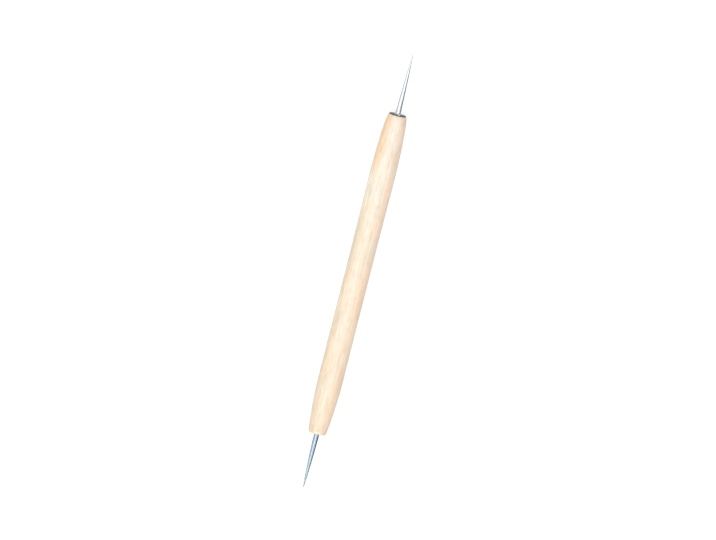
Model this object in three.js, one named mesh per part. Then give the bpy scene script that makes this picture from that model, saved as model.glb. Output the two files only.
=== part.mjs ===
// Embossing stylus: a turned wooden handle with a steel needle glued into each end.
// Units are millimetres. The stylus lies along X with its upper needle towards +X, and +Z is up.
// The origin is the bottom centre of the whole tool, on the surface that it lies on.

import * as THREE from "three";

// Handle
const handleLength = 118;
// The waist is the handle's middle, between the two shoulders where the tapers start.
const waistDiameter = 8.95;
const upperShoulderDiameter = 9.35;
const lowerShoulderDiameter = 9;
const upperTaperLength = 22.5;
const lowerTaperLength = 17.5;
const upperEndDiameter = 6.4;
const lowerEndDiameter = 6.1;
// A taper of roundness 1 is a straight cone, and one of roundness 2 is part of an ellipse.
const upperTaperRoundness = 1.75;
const lowerTaperRoundness = 1.4;
// The edge round each end of the wood is sanded off to this radius.
const upperEdgeRadius = 0.15;
const lowerEdgeRadius = 0.3;

// Needles: the reach is the length that stands out of the handle, the tang the length inside it.
const upperNeedleDiameter = 2.1;
const upperNeedleReach = 21.75;
const upperStraightLength = 0.6;
const upperTipDiameter = 0.35;
const upperTangLength = 18;
const lowerNeedleDiameter = 2;
const lowerNeedleReach = 20;
const lowerStraightLength = 5.7;
const lowerTipDiameter = 0.35;
const lowerTangLength = 16;
const tangChamfer = 0.3;

// Dark washer at the upper end
const washerThickness = 0.25;
const washerEdgeRadius = 0.06;

// Blind holes for the tangs, each with a chamfered mouth and the cone that a twist drill leaves
const mouthChamfer = 0.4;
const drillPointAngle = THREE.MathUtils.degToRad(118);

// Cured glue round each tang. It stands out of the washer and out of the lower end as a low bead.
const glueThickness = 0.22;
const glueBelowTang = 0.6;
const upperBeadHeight = 0.35;
const lowerBeadHeight = 0.45;

// The gap left between two bonded faces
const seatGap = 0.02;

// Fineness of the turned surfaces. A flat between two edges faces down, so that the tool lies still.
const sides = 32;
const taperSteps = 16;
const bodySteps = 8;
const roundingSteps = 5;

const handleWood = new THREE.MeshStandardMaterial({ color: 0xf0dfc4, roughness: 0.6, metalness: 0 });
const upperSteel = new THREE.MeshStandardMaterial({ color: 0xd5dade, roughness: 0.2, metalness: 1 });
const lowerSteel = new THREE.MeshStandardMaterial({ color: 0xc3d0de, roughness: 0.2, metalness: 1 });
const darkSteel = new THREE.MeshStandardMaterial({ color: 0x4d4f5c, roughness: 0.45, metalness: 0.8 });
const curedGlue = new THREE.MeshStandardMaterial({ color: 0xf3e6c4, roughness: 0.35, metalness: 0 });

// A place on a turned profile, with its radius and its height on the axis of the lathe.
const at = (radius, height) => new THREE.Vector2(radius, height);

// A turned piece. Its profile has the solid on its left, so it goes up the outside and down a hole.
function turned(name, profile, material) {
  const halfSide = Math.PI / sides;
  const mesh = new THREE.Mesh(new THREE.LatheGeometry(profile, sides, halfSide), material);
  mesh.name = name;
  return mesh;
}

// Points on a circular arc, with angles from the +radius direction, anticlockwise.
function arc(centreRadius, centreHeight, radius, from, to) {
  const points = [];
  for (let step = 0; step <= roundingSteps; step++) {
    const angle = THREE.MathUtils.lerp(from, to, step / roundingSteps);
    points.push(at(centreRadius + radius * Math.cos(angle), centreHeight + radius * Math.sin(angle)));
  }
  return points;
}

// The two tapers of the handle
const upperTaper = {
  length: upperTaperLength,
  endDiameter: upperEndDiameter,
  shoulderDiameter: upperShoulderDiameter,
  roundness: upperTaperRoundness,
  edgeRadius: upperEdgeRadius,
};
const lowerTaper = {
  length: lowerTaperLength,
  endDiameter: lowerEndDiameter,
  shoulderDiameter: lowerShoulderDiameter,
  roundness: lowerTaperRoundness,
  edgeRadius: lowerEdgeRadius,
};

// The handle's radius on a taper, at a distance from the end of the wood.
function taperRadius(distance, taper) {
  const left = 1 - distance / taper.length;
  const rise = (1 - left ** taper.roundness) ** (1 / taper.roundness);
  const full = THREE.MathUtils.lerp(taper.endDiameter, taper.shoulderDiameter, rise) / 2;
  const intoEdge = Math.max(taper.edgeRadius - distance, 0);
  return full - taper.edgeRadius + Math.sqrt(taper.edgeRadius ** 2 - intoEdge ** 2);
}

// The radius between the waist, at the middle of the handle, and a shoulder.
function bodyRadius(share, shoulderDiameter) {
  return THREE.MathUtils.lerp(waistDiameter, shoulderDiameter, share ** 2) / 2;
}

// The outside of the half of the handle next to one end, as [distance from that end, radius] pairs.
function outside(taper) {
  const pairs = [];
  for (let step = 0; step <= taperSteps; step++) {
    // The steps are closest at the end, where the curve is tightest.
    const distance = taper.length * (step / taperSteps) ** 3;
    pairs.push([distance, taperRadius(distance, taper)]);
  }
  for (let step = 1; step <= bodySteps; step++) {
    const share = 1 - step / bodySteps;
    const distance = THREE.MathUtils.lerp(handleLength / 2, taper.length, share);
    pairs.push([distance, bodyRadius(share, taper.shoulderDiameter)]);
  }
  return pairs;
}

// The sizes of one socket. Its hole takes the tang, the glue round it and a seat gap on each side.
function socket(needleDiameter, tangLength) {
  const glueInner = needleDiameter / 2 + seatGap;
  const glueOuter = glueInner + glueThickness;
  const holeRadius = glueOuter + seatGap;
  const drillSlope = 1 / Math.tan(drillPointAngle / 2);
  return {
    tangLength,
    glueInner,
    glueOuter,
    holeRadius,
    depth: tangLength + glueBelowTang,
    depthAtPoint: tangLength + glueBelowTang + holeRadius * drillSlope,
    gluePoint: tangLength + glueBelowTang + glueOuter * drillSlope,
  };
}

const upperSocket = socket(upperNeedleDiameter, upperTangLength);
const lowerSocket = socket(lowerNeedleDiameter, lowerTangLength);

// A needle that points up. Its tang reaches down from height 0, and its tip is as high as its reach.
function needle(name, sizes, material) {
  const radius = sizes.diameter / 2;
  const tipRadius = sizes.tipDiameter / 2;
  const tipCentre = sizes.reach - tipRadius;
  const coneLength = tipCentre - sizes.straight;
  // The cone starts at the end of the straight part and meets the round tip as a tangent.
  const slope = Math.atan2(radius, coneLength) - Math.asin(tipRadius / Math.hypot(coneLength, radius));
  return turned(
    name,
    [
      at(0, -sizes.tang),
      at(radius - tangChamfer, -sizes.tang),
      at(radius, -sizes.tang + tangChamfer),
      at(radius, sizes.straight),
      ...arc(0, tipCentre, tipRadius, slope, Math.PI / 2).slice(0, -1),
      at(0, sizes.reach),
    ],
    material,
  );
}

// The glue in a socket whose mouth is at height 0: a cup round the tang that widens in the mouth's chamfer.
function glue(name, fit, top) {
  const floor = -fit.tangLength - seatGap;
  return turned(
    name,
    [
      at(0, -fit.gluePoint),
      at(fit.glueOuter, -fit.depth),
      at(fit.glueOuter, -mouthChamfer),
      ...top,
      at(fit.glueInner, floor + tangChamfer),
      at(fit.glueInner - tangChamfer, floor),
      at(0, floor),
    ],
    curedGlue,
  );
}

// The radius of the glue at the wide end of a mouth's chamfer.
function mouthRadius(fit) {
  return fit.glueOuter + mouthChamfer;
}

// The outside of a glue bead, a quarter of an ellipse from its foot up to the needle.
function bead(innerRadius, outerRadius, foot, height) {
  const points = [];
  for (let step = 0; step <= roundingSteps; step++) {
    const angle = (Math.PI / 2) * (step / roundingSteps);
    const radius = innerRadius + (outerRadius - innerRadius) * Math.cos(angle);
    points.push(at(radius, foot + height * Math.sin(angle)));
  }
  return points;
}

// The upper glue fills the mouth under the washer and comes up through the washer's hole.
function upperGlueTop(fit) {
  return [
    at(mouthRadius(fit) - seatGap, -seatGap),
    at(fit.glueOuter, -seatGap),
    ...bead(fit.glueInner, fit.glueOuter, washerThickness, upperBeadHeight),
  ];
}

// The lower glue ends in a bead that is as wide as the mouth of its socket.
function lowerGlueTop(fit) {
  return bead(fit.glueInner, mouthRadius(fit), 0, lowerBeadHeight);
}

// The inside of a socket, from the drill point out to the mouth, as [depth, radius] pairs.
function inside(fit) {
  return [
    [fit.depthAtPoint, 0],
    [fit.depth, fit.holeRadius],
    [mouthChamfer, fit.holeRadius],
    [0, fit.holeRadius + mouthChamfer],
  ];
}

function handle() {
  const lower = [...inside(lowerSocket), ...outside(lowerTaper)];
  const upper = [...inside(upperSocket), ...outside(upperTaper)];
  // The waist is in both halves, and only one of them keeps it.
  upper.pop();
  return turned(
    "handle",
    [
      ...lower.map(([depth, radius]) => at(radius, depth - handleLength / 2)),
      ...upper.reverse().map(([depth, radius]) => at(radius, handleLength / 2 - depth)),
    ],
    handleWood,
  );
}

function endWasher() {
  const hole = upperSocket.holeRadius;
  // The washer is as wide as the flat of the wood that it lies on.
  const edge = upperEndDiameter / 2 - upperEdgeRadius;
  const rounding = washerEdgeRadius;
  const ring = [
    at(hole, 0),
    ...arc(edge - rounding, rounding, rounding, -Math.PI / 2, 0),
    ...arc(edge - rounding, washerThickness - rounding, rounding, 0, Math.PI / 2),
    at(hole, washerThickness),
    at(hole, 0),
  ];
  return turned("end_washer", ring, darkSteel);
}

// The upper fittings stand on the upper end of the handle, the washer round the foot of the needle.
const upperEnd = new THREE.Group();
upperEnd.position.y = handleLength / 2;
const upperNeedle = needle(
  "upper_needle",
  {
    diameter: upperNeedleDiameter,
    tipDiameter: upperTipDiameter,
    tang: upperTangLength,
    straight: washerThickness + upperStraightLength,
    reach: washerThickness + upperNeedleReach,
  },
  upperSteel,
);
upperEnd.add(upperNeedle, glue("upper_glue", upperSocket, upperGlueTop(upperSocket)), endWasher());

// The lower fittings are the same way up in their own group, which is turned over.
const lowerEnd = new THREE.Group();
lowerEnd.position.y = -handleLength / 2;
lowerEnd.rotation.x = Math.PI;
const lowerNeedle = needle(
  "lower_needle",
  {
    diameter: lowerNeedleDiameter,
    tipDiameter: lowerTipDiameter,
    tang: lowerTangLength,
    straight: lowerStraightLength,
    reach: lowerNeedleReach,
  },
  lowerSteel,
);
lowerEnd.add(lowerNeedle, glue("lower_glue", lowerSocket, lowerGlueTop(lowerSocket)));

// The tool is laid down along X, on a flat of its fattest shoulder, with its middle over the origin.
const fattest = Math.max(upperShoulderDiameter, lowerShoulderDiameter, waistDiameter) / 2;
const upperTip = handleLength / 2 + washerThickness + upperNeedleReach;
const lowerTip = handleLength / 2 + lowerNeedleReach;
const stylus = new THREE.Group();
stylus.rotation.z = -Math.PI / 2;
stylus.position.set((lowerTip - upperTip) / 2, 0, fattest * Math.cos(Math.PI / sides));
stylus.add(handle(), upperEnd, lowerEnd);

const part = new THREE.Group();
part.add(stylus);

export default part;
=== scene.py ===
# %% [markdown]
# # An embossing stylus
# The tool is a turned wooden handle with a steel needle glued into each end. The longer needle
# comes out through a thin dark washer, and a small bead of glue lies round the foot of each needle.
# The CAD model settles every place and size. This file turns each piece again on a finer lathe and
# gives it the finish of the real one. All lengths are in metres, and the tool lies along X.

# %% Load the frame
import math

import bmesh
import bpy
from mathutils import Matrix, Vector, noise


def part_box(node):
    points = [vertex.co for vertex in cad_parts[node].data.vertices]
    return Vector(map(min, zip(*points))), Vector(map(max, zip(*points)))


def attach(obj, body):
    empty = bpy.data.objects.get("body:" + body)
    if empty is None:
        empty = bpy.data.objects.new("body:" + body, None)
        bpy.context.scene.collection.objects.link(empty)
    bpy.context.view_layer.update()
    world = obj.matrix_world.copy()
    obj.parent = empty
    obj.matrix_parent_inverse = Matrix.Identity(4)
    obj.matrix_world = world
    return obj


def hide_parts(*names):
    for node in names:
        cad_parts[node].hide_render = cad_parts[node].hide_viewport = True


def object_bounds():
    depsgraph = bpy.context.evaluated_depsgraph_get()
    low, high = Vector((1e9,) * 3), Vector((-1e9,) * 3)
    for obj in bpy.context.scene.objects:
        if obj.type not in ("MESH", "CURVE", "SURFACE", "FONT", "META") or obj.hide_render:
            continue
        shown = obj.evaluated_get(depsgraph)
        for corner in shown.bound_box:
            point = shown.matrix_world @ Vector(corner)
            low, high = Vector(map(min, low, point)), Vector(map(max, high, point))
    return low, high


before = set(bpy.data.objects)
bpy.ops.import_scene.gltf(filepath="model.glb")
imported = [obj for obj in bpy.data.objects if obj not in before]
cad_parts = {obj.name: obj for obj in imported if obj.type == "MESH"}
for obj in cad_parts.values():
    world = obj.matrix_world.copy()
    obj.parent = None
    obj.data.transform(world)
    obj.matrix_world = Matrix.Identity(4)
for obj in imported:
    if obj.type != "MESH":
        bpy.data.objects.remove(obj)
cad_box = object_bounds()


def in_millimetres(box):
    """The two corners of a box as plain numbers to read."""
    return [[round(1000 * value, 3) for value in corner] for corner in box]


print("CAD box in mm:", in_millimetres(cad_box))

# %% [markdown]
# ## The camera
# The photograph looks almost straight down on the tool, from a long way off, so its two sides stay
# parallel. It is taken from a little beyond the upper end, which is why the dark face of that end
# shows as a thin ellipse. A long lens far away gives that flat look, and the tool leans in the
# picture because the camera is turned about its own line of sight.

# %% Place the camera
axis_height = (cad_box[0].z + cad_box[1].z) / 2
distance = 6.0
towards_upper_end = math.radians(8)
lean = math.radians(14.23)
pixel_at_the_tool = 0.000356
photo_width = 716
aim_along = 0.00058
aim_across = -0.00012

back = Vector((math.sin(towards_upper_end), 0, math.cos(towards_upper_end)))
along = Vector((math.cos(towards_upper_end), 0, -math.sin(towards_upper_end)))
across = Vector((0, -1, 0))
up = math.cos(lean) * along - math.sin(lean) * across
right = math.cos(lean) * across + math.sin(lean) * along

camera_data = bpy.data.cameras.new("camera")
camera_data.lens = camera_data.sensor_width * distance / (photo_width * pixel_at_the_tool)
camera_data.clip_end = 20
camera = bpy.data.objects.new("camera", camera_data)
bpy.context.scene.collection.objects.link(camera)
aim = Vector((0, 0, axis_height)) + aim_along * along + aim_across * across
facing = Matrix((right, up, back)).transposed().to_4x4()
camera.matrix_world = Matrix.Translation(aim + distance * back) @ facing
bpy.context.scene.camera = camera
print("lens in mm:", round(camera_data.lens, 1))

# %% [markdown]
# ## Floor and light
# The photograph has a pure white ground without a shadow. A light table gives that: a white sheet
# that glows by itself, so that the tool takes hardly any light away from it. The glow is kept just
# bright enough to be white in the picture, because polished steel mirrors it at its sides. Over the
# table hangs one large round soft box, with a narrow one low on each side. The room behind them is
# dim. Wood darkens gently at its sides in such a light, and steel gets the bright middle and the
# dark edges that the needles have in the photograph. Two weak boxes beyond the ends of the tool
# light its end faces.

# %% Fill the sockets of a node
def fill(tree, node, sockets):
    """Gives each named socket of a node a number, a colour or a link from another socket."""
    for socket, value in sockets.items():
        if isinstance(value, bpy.types.NodeSocket):
            tree.links.new(value, node.inputs[socket])
        else:
            node.inputs[socket].default_value = value


# %% Lay the light table
floor_reach = 4
white_sheet = {
    "Base Color": (0.12, 0.12, 0.12, 1),
    "Roughness": 0.9,
    "Specular IOR Level": 0.0,
    "Emission Color": (1, 1, 1, 1),
    "Emission Strength": 0.85,
    "Coat Weight": 1.0,
    "Coat IOR": 1.35,
    "Coat Roughness": 0.1,
}

floor_mesh = bpy.data.meshes.new("floor")
floor_shape = bmesh.new()
bmesh.ops.create_grid(floor_shape, x_segments=1, y_segments=1, size=floor_reach)
floor_shape.to_mesh(floor_mesh)
floor_shape.free()
floor = bpy.data.objects.new("floor", floor_mesh)
bpy.context.scene.collection.objects.link(floor)
floor_paint = bpy.data.materials.new("floor_paint")
floor_paint.use_nodes = True
fill(floor_paint.node_tree, floor_paint.node_tree.nodes["Principled BSDF"], white_sheet)
floor_mesh.materials.append(floor_paint)
print("the floor glows with a strength of", white_sheet["Emission Strength"])

# %% Dim the room
bpy.context.scene.view_settings.view_transform = "Standard"
world = bpy.data.worlds.new("dim_room")
bpy.context.scene.world = world
world.use_nodes = True
dim_room = {"Color": (0.8, 0.9, 1.0, 1), "Strength": 0.15}
fill(world.node_tree, world.node_tree.nodes["Background"], dim_room)
print("the room glows with a strength of", dim_room["Strength"])


# %% Hang the soft boxes
def soft_box(name, direction, width, depth, shape, brightness):
    """A lamp one metre from the tool that faces it. Its brightness is that of its cloth."""
    lamp_data = bpy.data.lights.new(name, "AREA")
    lamp_data.shape = shape
    lamp_data.size = width
    lamp_data.size_y = depth
    area = width * depth * (math.pi / 4 if shape == "ELLIPSE" else 1)
    lamp_data.energy = brightness * math.pi * area
    lamp = bpy.data.objects.new(name, lamp_data)
    bpy.context.scene.collection.objects.link(lamp)
    lamp.location = Vector(direction).normalized()
    lamp.rotation_mode = "QUATERNION"
    lamp.rotation_quaternion = lamp.location.to_track_quat("Z", "Y")
    print(name, "gives", round(lamp_data.energy, 2), "watts")


soft_box("overhead_box", (-0.12, 0.22, 1.0), 1.04, 1.04, "ELLIPSE", brightness=4.0)
soft_box("left_box", (-0.14, 1.0, 0.34), 0.6, 0.5, "RECTANGLE", brightness=3.1)
soft_box("right_box", (-0.14, -0.73, 0.72), 1.3, 0.34, "RECTANGLE", brightness=4.1)
soft_box("upper_end_box", (1.0, 0.0, 0.5), 0.7, 0.7, "RECTANGLE", brightness=1.4)
soft_box("lower_end_box", (-1.0, 0.0, 0.5), 0.7, 0.7, "RECTANGLE", brightness=0.9)

# %% [markdown]
# ## Turning the pieces
# Every piece of this tool is round, and all share one axis. The real ones come from a lathe or a
# grinding machine, so the natural way to model them is to draw one outline and spin it. The outline
# doesn't have to be drawn again, because it is there in each CAD solid, which is turned too, with
# 32 flats. One line of it from end to end is kept, everything else is deleted, and bmesh.ops.spin
# turns that line into a piece with more steps. Catmull-Clark subdivision then rounds the rest,
# while real corners keep a crease. The line is drawn in by the height of a flat, so the round piece
# fits into the space of the solid. Blender's spin makes the same edges and faces each time, but in
# another order, so they are sorted by their points, and every run gives the same mesh.

# %% Keep one outline of a solid
weld_distance = 1e-7
on_the_axis = 1e-6
same_line = 0.01


def radius_of(node):
    """Half the height of a turned CAD solid."""
    low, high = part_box(node)
    return (high.z - low.z) / 2


def outline_of(node):
    """A bmesh with only one line of a turned CAD solid, from one end of its axis to the other."""
    shape = bmesh.new()
    shape.from_mesh(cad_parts[node].data)
    bmesh.ops.remove_doubles(shape, verts=shape.verts, dist=weld_distance)
    turn, reach = {}, {}
    for point in shape.verts:
        side, height = point.co.y, point.co.z - axis_height
        reach[point] = math.hypot(side, height)
        turn[point] = math.atan2(side, height)
    off_axis = [point for point in shape.verts if reach[point] > on_the_axis]
    first = min(turn[point] for point in off_axis if turn[point] > 0)
    away = [point for point in off_axis if abs(turn[point] - first) > same_line]
    bmesh.ops.delete(shape, geom=away, context="VERTS")
    draw_in = radius_of(node) / max(reach[point] for point in shape.verts)
    from_axis = Matrix.Translation((0, 0, -axis_height))
    bmesh.ops.scale(shape, vec=(1, draw_in, draw_in), space=from_axis, verts=shape.verts)
    return shape


print("radii in mm:", {node: round(1000 * radius_of(node), 3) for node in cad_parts})

# %% Sort edges and faces
def rank_of(element, count):
    """A number that only this edge or face has, made of the numbers of its first three points."""
    rank = 0
    for index in sorted(point.index for point in element.verts)[:3]:
        rank = rank * count + index
    return rank


def sort_by_points(shape):
    """Puts the edges and faces of a bmesh in the order of their points."""
    shape.verts.index_update()
    count = len(shape.verts)
    shape.edges.sort(key=lambda edge: rank_of(edge, count))
    shape.faces.sort(key=lambda face: rank_of(face, count))


# %% Spin an outline into a piece
sharp_corner = math.radians(28)
cubic_millimetres = 1e9


def turned(name, node, steps, levels):
    """A smooth closed piece with the outline of a CAD solid, finished with a live subdivision."""
    shape = outline_of(node)
    stations = len(shape.verts)
    bmesh.ops.spin(
        shape,
        geom=shape.verts[:] + shape.edges[:],
        cent=(0, 0, axis_height),
        axis=(1, 0, 0),
        angle=2 * math.pi,
        steps=steps,
        use_merge=True,
    )
    bmesh.ops.remove_doubles(shape, verts=shape.verts, dist=weld_distance)
    bmesh.ops.recalc_face_normals(shape, faces=shape.faces)
    sort_by_points(shape)
    crease = shape.edges.layers.float.new("crease_edge")
    for edge in shape.edges:
        if edge.calc_face_angle(0) > sharp_corner:
            edge[crease] = 1
            edge.smooth = False
    for face in shape.faces:
        face.smooth = True
    closed = all(edge.is_manifold for edge in shape.edges)
    volume = shape.calc_volume(signed=True) * cubic_millimetres
    mesh = bpy.data.meshes.new(name)
    shape.to_mesh(mesh)
    shape.free()
    for edge in mesh.edges:
        edge.vertices = sorted(edge.vertices)
    piece = bpy.data.objects.new(name, mesh)
    bpy.context.scene.collection.objects.link(piece)
    rounding = piece.modifiers.new("rounding", "SUBSURF")
    rounding.levels = rounding.render_levels = levels
    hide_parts(node)
    faces = len(mesh.polygons)
    print(f"{name}: {stations} stations, {faces} faces, closed {closed}, {volume:.1f} mm3")
    return piece


# %% Turn all six pieces
handle = turned("turned_handle", "handle", steps=72, levels=2)
upper_needle = turned("long_needle", "upper_needle", steps=32, levels=2)
lower_needle = turned("short_needle", "lower_needle", steps=32, levels=2)
end_washer = turned("shaded_dark_washer", "end_washer", steps=72, levels=1)
upper_glue = turned("upper_glue_bead", "upper_glue", steps=96, levels=1)
lower_glue = turned("lower_glue_bead", "lower_glue", steps=48, levels=2)

# %% [markdown]
# ## The beads of glue
# The glue was pressed out of both holes when the needles went in, so neither bead is a perfect
# ring. A smooth noise that varies round the needle makes each one lower in some places than in
# others. On the longer needle a drop has run out over the washer to its rim, on the side that faces
# up here, and in the photograph it parts the dark ellipse in two. It is drawn out of the same ring
# of glue, most where the direction from the axis is that of the drop.

# %% Make the beads uneven
drop_turn, drop_half_angle = -0.16, 0.25
lumpiness, lump_depth = 1.3, 0.4
at_the_face = 1e-6


def uneven_bead(piece, face, outwards, needle_radius, drop_length, drop_height, shift):
    """Lowers by noise the part of a piece that stands out of a face, and draws a drop out of it."""
    points = piece.data.vertices
    proud = [point for point in points if (point.co.x - face) * outwards > -at_the_face]
    reaches = [math.hypot(point.co.y, point.co.z - axis_height) for point in proud]
    width = max(reaches) - needle_radius
    for point, reach in zip(proud, reaches):
        side, height = point.co.y, point.co.z - axis_height
        round_the_needle = (side / reach * lumpiness, height / reach * lumpiness, shift)
        lump = 0.5 + 0.5 * noise.noise(Vector(round_the_needle))
        drop = math.exp(-(((math.atan2(side, height) - drop_turn) / drop_half_angle) ** 2))
        point.co.x = face + (point.co.x - face) * (1 - lump_depth * lump + drop_height * drop)
        drawn = 1 + drop_length * drop * (reach - needle_radius) / width / reach
        point.co.y = side * drawn
        point.co.z = axis_height + height * drawn
    print(piece.name, "has", len(proud), "points on its bead")


wood_low, wood_high = (corner.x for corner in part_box("handle"))
washer_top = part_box("end_washer")[1].x
long_radius, short_radius = radius_of("upper_needle"), radius_of("lower_needle")
uneven_bead(lower_glue, wood_low, -1, short_radius, drop_length=0, drop_height=0, shift=7.5)
uneven_bead(upper_glue, washer_top, 1, long_radius, drop_length=0.0019, drop_height=0.8, shift=2.5)

# %% [markdown]
# ## Building materials
# A material is a small graph of nodes. A few helpers keep the graphs readable. One adds a node and
# fills its sockets, and one starts a material that reads Object coordinates. The pieces sit at the
# origin, so these are the tool's own coordinates, and a Mapping node centres them on its axis.
# Every pattern is noise that a second Mapping node stretches, because the marks on this tool run
# along it, as fibres of wood do, or round it, as the marks of a grinding wheel do.

# %% Start a material
def add(tree, kind, sockets, **settings):
    """A new node with its settings made and its sockets filled."""
    made = tree.nodes.new(kind)
    for setting, value in settings.items():
        setattr(made, setting, value)
    fill(tree, made, sockets)
    return made


def start_material(name):
    """A new material: its tree, its shader, and the tool's coordinates with the axis at zero."""
    material = bpy.data.materials.new(name)
    material.use_nodes = True
    tree = material.node_tree
    place = add(tree, "ShaderNodeTexCoord", {}).outputs["Object"]
    centred = add(tree, "ShaderNodeMapping", {"Vector": place, "Location": (0, 0, -axis_height)})
    return material, tree, tree.nodes["Principled BSDF"], centred.outputs["Vector"]


def paint(red, green, blue):
    """A colour as the eye sees it on a screen, 0 to 255, as the linear numbers that shaders use."""
    values = []
    for value in (red, green, blue):
        share = value / 255
        values.append(share / 12.92 if share <= 0.04045 else ((share + 0.055) / 1.055) ** 2.4)
    return (*values, 1)


print("middle grey is", round(paint(128, 128, 128)[0], 3), "in the numbers that shaders use")


# %% Draw patterns
def stretched_noise(tree, place, per_metre, detail, roughness, shift):
    """Noise between 0 and 1 with its own number of features per metre along x, y and z."""
    stretch = {"Vector": place, "Scale": per_metre, "Location": (shift, shift, shift)}
    stretched = add(tree, "ShaderNodeMapping", stretch).outputs["Vector"]
    grain = {"Vector": stretched, "Scale": 1.0, "Detail": detail, "Roughness": roughness}
    return add(tree, "ShaderNodeTexNoise", grain).outputs["Fac"]


def distance_from_line(tree, place, centre, squeeze):
    """How far a place is from a line through a centre, once the squeeze has shortened each axis."""
    kind = "ShaderNodeVectorMath"
    moved = add(tree, kind, {0: place, 1: centre}, operation="SUBTRACT").outputs[0]
    flat = add(tree, kind, {0: moved, 1: squeeze}, operation="MULTIPLY").outputs[0]
    return add(tree, kind, {0: flat}, operation="LENGTH").outputs["Value"]


def relief(tree, height, strength, distance):
    """Bumps for the Normal socket, from a height that is drawn as deep as the distance."""
    bumps = {"Height": height, "Strength": strength, "Distance": distance}
    return add(tree, "ShaderNodeBump", bumps).outputs["Normal"]


# %% Calculate and mix
def calculated(tree, operation, *values):
    """The outcome of one Math node."""
    return add(tree, "ShaderNodeMath", dict(enumerate(values)), operation=operation).outputs[0]


def all_of(tree, *shares):
    """The product of several shares, so it is 1 only where all of them are."""
    product, *others = shares
    for share in others:
        product = calculated(tree, "MULTIPLY", product, share)
    return product


def ranged(tree, value, low, high, to_low=0.0, to_high=1.0):
    """The value with low..high mapped to to_low..to_high, and held there beyond the ends."""
    ends = {"Value": value, "From Min": low, "From Max": high, "To Min": to_low, "To Max": to_high}
    return add(tree, "ShaderNodeMapRange", ends).outputs["Result"]


def mixed(tree, factor, first, second, blend="MIX"):
    """Two colours mixed by a factor. A Mix node keeps its colours in sockets with these numbers."""
    first_colour, second_colour, mixed_colour = 6, 7, 2
    sockets = {"Factor": factor, first_colour: first, second_colour: second}
    made = add(tree, "ShaderNodeMix", sockets, data_type="RGBA", blend_type=blend)
    return made.outputs[mixed_colour]


# %% [markdown]
# ## The wood
# The handle is a pale, close-grained hardwood such as birch. Its growth rings are wide compared
# with the stick, so they cross it as gently bent layers, and turning cuts them into long soft
# stripes. Their strength comes from the distance to a far-off pith, which makes the stripes run
# right through the stick and meet at its ends as they do in real wood. Fine fibres, short pores and
# the cloudy patches that birch shows where its fibres run slightly out of the surface are noise,
# drawn out along the stick. All of this grain is measured here, and drawn into the colour further
# down.

# %% Grow the grain
wood, tree, shader, place = start_material("pale_hardwood")
pith, along_the_pith = (0, 0.019, -0.012), (0.012, 1, 1)
ring_width, ring_wander, late_sharpness = 0.0016, 0.0022, 3.0

wander = stretched_noise(tree, place, (14, 90, 90), detail=2, roughness=0.5, shift=3.1)
from_pith = distance_from_line(tree, place, pith, along_the_pith)
bent = calculated(tree, "MULTIPLY_ADD", wander, ring_wander, from_pith)
ring_phase = calculated(tree, "FRACT", calculated(tree, "DIVIDE", bent, ring_width))
late_wood = calculated(tree, "POWER", ring_phase, late_sharpness)

fibres = stretched_noise(tree, place, (260, 1900, 1900), detail=4, roughness=0.65, shift=1.7)
broad_fibres = stretched_noise(tree, place, (60, 480, 480), detail=4, roughness=0.6, shift=5.3)
clouds = stretched_noise(tree, place, (85, 230, 230), detail=5, roughness=0.62, shift=14.6)
specks = stretched_noise(tree, place, (1100, 9500, 9500), detail=1, roughness=0.4, shift=9.2)
pores = ranged(tree, specks, 0.66, 0.74)
print(f"rings {1000 * ring_width:.1f} mm apart, the pith {1000 * Vector(pith).length:.1f} mm away")

# %% [markdown]
# The wood isn't the same colour all round. One side of the stick is peach. The other has honey
# spots, which turn to pale cream before the upper shoulder, and from there to the longer needle it
# is orange, where the wood was nearer to the heart. Each of these is a soft patch of noise that
# fades out towards its side or its end, laid over pale wood that is a little yellower along some
# fibres. The peach and the honey are partly painted light and shade. They leave the top of the
# stick in the greyer pale wood, so both sides come out lighter than the top, and the peach is the
# painted hue of the side that gets less light.

# %% Find the warm patches, which also paint light and shade on the sides
along_tool, side_of_tool, above_axis = add(tree, "ShaderNodeSeparateXYZ", {0: place}).outputs

peach_noise = stretched_noise(tree, place, (75, 260, 260), detail=4, roughness=0.6, shift=12.4)
# The peach side is partly painted shade: the hue of the side that gets less light.
peach_shade_side = ranged(tree, side_of_tool, 0.0012, -0.0034, 0.12, 1.0)
peach_and_shade = all_of(tree, peach_shade_side, ranged(tree, peach_noise, 0.4, 0.58, 0.4, 1), 0.85)

honey_noise = stretched_noise(tree, place, (95, 330, 330), detail=4, roughness=0.6, shift=21.9)
# The honey side is partly painted light: with the peach, it makes both sides lighter than the top.
honey_light_side = ranged(tree, side_of_tool, 0.0004, 0.0034, 0.1, 1.0)
honey_and_side_light = all_of(tree, honey_light_side, ranged(tree, honey_noise, 0.42, 0.6, 0.3, 1), 0.8)
creamier = ranged(tree, along_tool, 0.012, 0.028)

orange_noise = stretched_noise(tree, place, (130, 420, 420), detail=4, roughness=0.65, shift=31.3)
orange_side = ranged(tree, side_of_tool, 0.0006, 0.0026)
orange_end = ranged(tree, along_tool, 0.034, 0.044)
orange_patches = ranged(tree, orange_noise, 0.38, 0.56, 0.3, 1)
orange = all_of(tree, orange_side, orange_patches, orange_end, 0.9)
print("the warm patches take", len(tree.nodes), "nodes with the grain")

# %% Colour the sides, partly with painted light and shade
pale_wood, straw_wood = paint(209, 206, 197), paint(210, 201, 177)
peach_shade_wood, orange_wood = paint(236, 206, 180), paint(230, 188, 134)
honey_light_wood, cream_wood = paint(238, 215, 181), paint(240, 228, 210)

colour = mixed(tree, ranged(tree, broad_fibres, 0.38, 0.64, 0, 0.7), pale_wood, straw_wood)
# Peach and honey patches: wood colour, plus painted shade and light on the sides.
colour = mixed(tree, peach_and_shade, colour, peach_shade_wood)
colour = mixed(tree, honey_and_side_light, colour, mixed(tree, creamier, honey_light_wood, cream_wood))
colour = mixed(tree, orange, colour, orange_wood)
print("pale wood in shader numbers:", [round(value, 3) for value in pale_wood])
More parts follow.
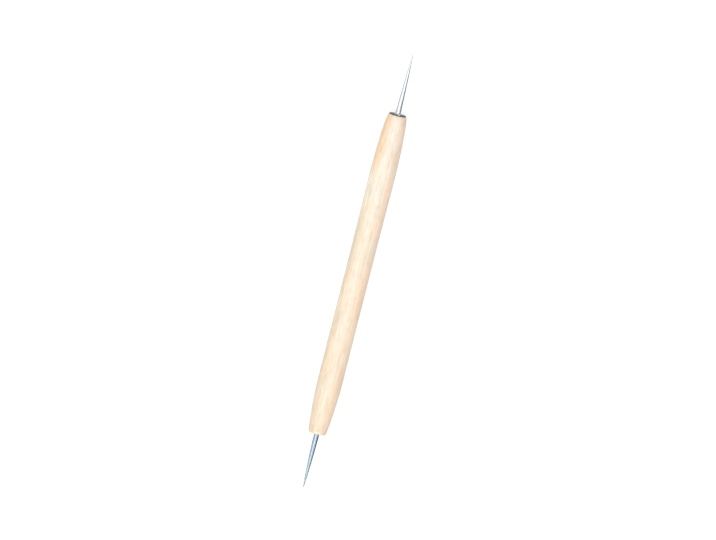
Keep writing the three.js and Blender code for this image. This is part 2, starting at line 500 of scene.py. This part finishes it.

# %% [markdown]
# The wood gets warmer and darker towards its ends. The shorter needle's end gets most, and from
# there the warmth reaches over the whole lower half and fades out only near the upper shoulder.
# Along the lower half it is painted shade, for the light that falls off along the stick. The grain
# goes over all these colours as a brown stain that multiplies them, so it shows in pale and in warm
# wood alike.

# %% Warm the ends and paint shade over the lower half
warm_shade_wood = paint(216, 193, 163)
near_lower_end = ranged(tree, along_tool, wood_low + 0.016, wood_low)
near_upper_end = ranged(tree, along_tool, wood_high - 0.008, wood_high, 0, 0.25)
# Darker and warmer over the lower half: painted shade of the light falling off along the stick.
lower_half_shade = ranged(tree, along_tool, 0.03, wood_low, 0, 0.8)
ends_and_shaded_half = calculated(tree, "MAXIMUM", near_lower_end, near_upper_end)
ends_and_shaded_half = calculated(tree, "MAXIMUM", ends_and_shaded_half, lower_half_shade)
warmth_and_shade = calculated(tree, "MULTIPLY", ends_and_shaded_half, ranged(tree, broad_fibres, 0.3, 0.7, 0.3, 0.8))
colour = mixed(tree, warmth_and_shade, colour, warm_shade_wood)
print(f"the wood reaches from {1000 * wood_low:.1f} to {1000 * wood_high:.1f} mm")

# %% Stain the grain
grain_stain, pore_stain = paint(231, 214, 191), paint(190, 166, 138)
stains = (
    (calculated(tree, "MULTIPLY", late_wood, 0.25), grain_stain),
    (ranged(tree, clouds, 0.44, 0.62, 0, 0.2), grain_stain),
    (ranged(tree, fibres, 0.44, 0.64, 0, 0.42), grain_stain),
    (calculated(tree, "MULTIPLY", pores, 0.4), pore_stain),
)
for share, stain in stains:
    colour = mixed(tree, share, colour, stain, "MULTIPLY")
print("the grain is stained in", len(stains), "layers")

# %% [markdown]
# At the shorter needle the top of the wood is paler in a small patch by its edge. The cut faces
# show end grain, which is darker, and where the pores are dots.

# %% Pale the top by the shorter needle and cut the ends
pale_top_patch, end_grain, end_pore = paint(224, 216, 194), paint(196, 172, 140), paint(158, 130, 98)

# A paler patch on the upward face of the wood, next to the shorter needle.
off_middle = calculated(tree, "ABSOLUTE", calculated(tree, "ADD", side_of_tool, 0.0003))
patch_end_mask = ranged(tree, along_tool, wood_low + 0.0011, wood_low + 0.0004)
patch_width_mask = ranged(tree, off_middle, 0.0019, 0.0009)
patch_top_mask = ranged(tree, above_axis, 0.0, 0.001)
colour = mixed(tree, all_of(tree, patch_end_mask, patch_width_mask, patch_top_mask, 0.6), colour, pale_top_patch)

wood_middle, wood_half = (wood_low + wood_high) / 2, (wood_high - wood_low) / 2
from_middle = calculated(tree, "ABSOLUTE", calculated(tree, "SUBTRACT", along_tool, wood_middle))
cut_face = ranged(tree, from_middle, wood_half - 0.00006, wood_half - 0.00002)
end_noise = stretched_noise(tree, place, (4000, 9000, 9000), detail=2, roughness=0.5, shift=4.4)
end_colour = mixed(tree, ranged(tree, end_noise, 0.5, 0.64), end_grain, end_pore)
colour = mixed(tree, cut_face, colour, end_colour)
print(f"the cut faces lie {1000 * wood_half:.2f} mm from the middle of the wood")

# %% [markdown]
# Fine sanding lines run round the stick, the fibres stand a little proud, and the pores are tiny
# pits. All are far too small for geometry, so they are bumps. Over them lies a thin clear satin
# seal: a full coat that is about as dull as the wood, so the middle of the stick gleams softly.

# %% Sand and seal the wood
sanding = stretched_noise(tree, place, (9000, 260, 260), detail=2, roughness=0.5, shift=6.6)
height = calculated(tree, "MULTIPLY_ADD", fibres, 0.6, calculated(tree, "MULTIPLY", sanding, 0.25))
height = calculated(tree, "MULTIPLY_ADD", pores, -0.5, height)
sealed_wood = {
    "Base Color": colour,
    "Normal": relief(tree, height, strength=0.5, distance=0.00002),
    "Roughness": ranged(tree, fibres, 0.3, 0.7, 0.5, 0.62),
    "Specular IOR Level": 0.35,
    "Coat Weight": 1.0,
    "Coat Roughness": 0.55,
}
fill(tree, shader, sealed_wood)
print(wood.name, "has", len(tree.nodes), "nodes")

# %% [markdown]
# ## The steel
# Both needles are ground round and polished. Metal takes its look from what it mirrors, and very
# fine rings from the grinding wheel break up the reflection a little. The shorter needle is darker
# and bluer all over: a painted reflection of blue-grey surroundings. Towards the wood both needles
# get darker and bluer, the shorter one most: painted shade where the needle meets the handle.
# The edge tint is what metal reflects where it turns away from the eye, which is nearly black here.

# %% Polish steel
def polished_steel(name, colour, base_shade_colour, edge_tint, base_x, tip_x):
    """Steel that is darker and bluer at base_x, painted shade by the wood, and has its own colour
    by tip_x.
    """
    material, tree, shader, place = start_material(name)
    along_needle = add(tree, "ShaderNodeSeparateXYZ", {0: place}).outputs["X"]
    clouds = stretched_noise(tree, place, (180, 500, 500), detail=3, roughness=0.6, shift=2.2)
    # Darker and bluer towards the base: painted shade where the needle meets the wood.
    base_shade_reach = ranged(tree, along_needle, tip_x, base_x)
    base_shade = calculated(tree, "MULTIPLY", base_shade_reach, ranged(tree, clouds, 0.3, 0.7, 0.5, 1))
    rings = stretched_noise(tree, place, (16000, 120, 120), detail=3, roughness=0.6, shift=8.8)
    scratches = stretched_noise(tree, place, (260, 9000, 9000), detail=2, roughness=0.5, shift=3.3)
    height = calculated(tree, "MULTIPLY_ADD", scratches, 0.3, rings)
    ground_steel = {
        "Base Color": mixed(tree, base_shade, colour, base_shade_colour),
        "Normal": relief(tree, height, strength=0.35, distance=0.0000012),
        "Roughness": ranged(tree, clouds, 0.3, 0.7, 0.1, 0.2),
        "Metallic": 1,
        "Specular Tint": edge_tint,
    }
    fill(tree, shader, ground_steel)
    print(material.name, "has", len(tree.nodes), "nodes")
    return material


# %% Grind the needles
bright_steel = polished_steel(
    "bright_steel",
    colour=paint(161, 166, 171),
    base_shade_colour=paint(156, 162, 169),
    edge_tint=paint(52, 57, 64),
    base_x=washer_top,
    tip_x=washer_top + 0.008,
)
# The shorter needle: a painted blue reflection in its colour, and painted shade at its base.
blue_shade_steel = polished_steel(
    "blue_shade_steel",
    colour=paint(126, 140, 149),
    base_shade_colour=paint(120, 132, 154),
    edge_tint=paint(30, 40, 58),
    base_x=wood_low,
    tip_x=wood_low - 0.012,
)

# %% [markdown]
# ## The washer
# It is thin steel with a blue-black finish, and that dark colour is also painted shade. It stands
# for the end of the handle, which lies dark in this light. Handling wears such a finish at the rim,
# where a little brown shows, and the rest is slightly cloudy.

# %% Blue the washer
dark_shade_finish, tree, shader, place = start_material("dark_shade_finish")
# Blue-black: the washer's finish, and painted shade of the upper end of the handle.
blue_black_shade, cloudy_blue, worn_brown = paint(58, 62, 84), paint(74, 78, 100), paint(112, 100, 92)
worn_width = 0.0004

washer_radius = radius_of("end_washer")
reach = distance_from_line(tree, place, (0, 0, 0), (0, 1, 1))
rim = ranged(tree, reach, washer_radius - worn_width, washer_radius)
clouds = stretched_noise(tree, place, (900, 900, 900), detail=4, roughness=0.6, shift=1.1)
colour = mixed(tree, ranged(tree, clouds, 0.3, 0.7), blue_black_shade, cloudy_blue)
colour = mixed(tree, all_of(tree, rim, ranged(tree, clouds, 0.45, 0.65), 0.6), colour, worn_brown)
blued_washer = {
    "Base Color": colour,
    "Normal": relief(tree, clouds, strength=0.3, distance=0.000006),
    "Roughness": ranged(tree, clouds, 0.3, 0.7, 0.42, 0.6),
    "Metallic": 0.5,
}
fill(tree, shader, blued_washer)
print(dark_shade_finish.name, "has", len(tree.nodes), "nodes")

# %% [markdown]
# ## The glue
# Cured wood glue is a slightly amber, half-clear solid with a smooth skin and a few tiny bubbles. A
# little subsurface scattering gives it depth without making it look like glass.

# %% Cure the glue
amber_glue, tree, shader, place = start_material("amber_glue")
clear_amber, deep_amber, bubble = paint(236, 224, 202), paint(226, 206, 174), paint(236, 230, 210)

depth = stretched_noise(tree, place, (1500, 1500, 1500), detail=3, roughness=0.5, shift=4.7)
specks = stretched_noise(tree, place, (7000, 7000, 7000), detail=1, roughness=0.4, shift=2.9)
bubbles = ranged(tree, specks, 0.66, 0.74)
colour = mixed(tree, ranged(tree, depth, 0.35, 0.7), clear_amber, deep_amber)
colour = mixed(tree, calculated(tree, "MULTIPLY", bubbles, 0.4), colour, bubble)
cured_glue = {
    "Base Color": colour,
    "Normal": relief(tree, bubbles, strength=0.4, distance=0.00002),
    "Roughness": ranged(tree, depth, 0.3, 0.7, 0.25, 0.4),
    "Subsurface Weight": 0.25,
    "Subsurface Radius": (1.0, 0.7, 0.4),
    "Subsurface Scale": 0.0004,
}
fill(tree, shader, cured_glue)
print(amber_glue.name, "has", len(tree.nodes), "nodes")

# %% [markdown]
# ## Putting it together
# Nothing on this tool turns or slides, so every piece rides on its one body, which is called root.
# The list below also gives, for each piece, the name of the finish in the CAD record that its own
# material stands for.

# %% Give each piece its finish and its body
finishes = (
    (handle, wood, "handle_wood"),
    (upper_needle, bright_steel, "upper_needle_steel"),
    (lower_needle, blue_shade_steel, "lower_needle_steel"),
    (end_washer, dark_shade_finish, "dark_steel"),
    (upper_glue, amber_glue, "cured_glue"),
    (lower_glue, amber_glue, "cured_glue"),
)
for piece, finish, slot in finishes:
    piece.data.materials.append(finish)
    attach(piece, "root")
    print(piece.name, "has", finish.name)
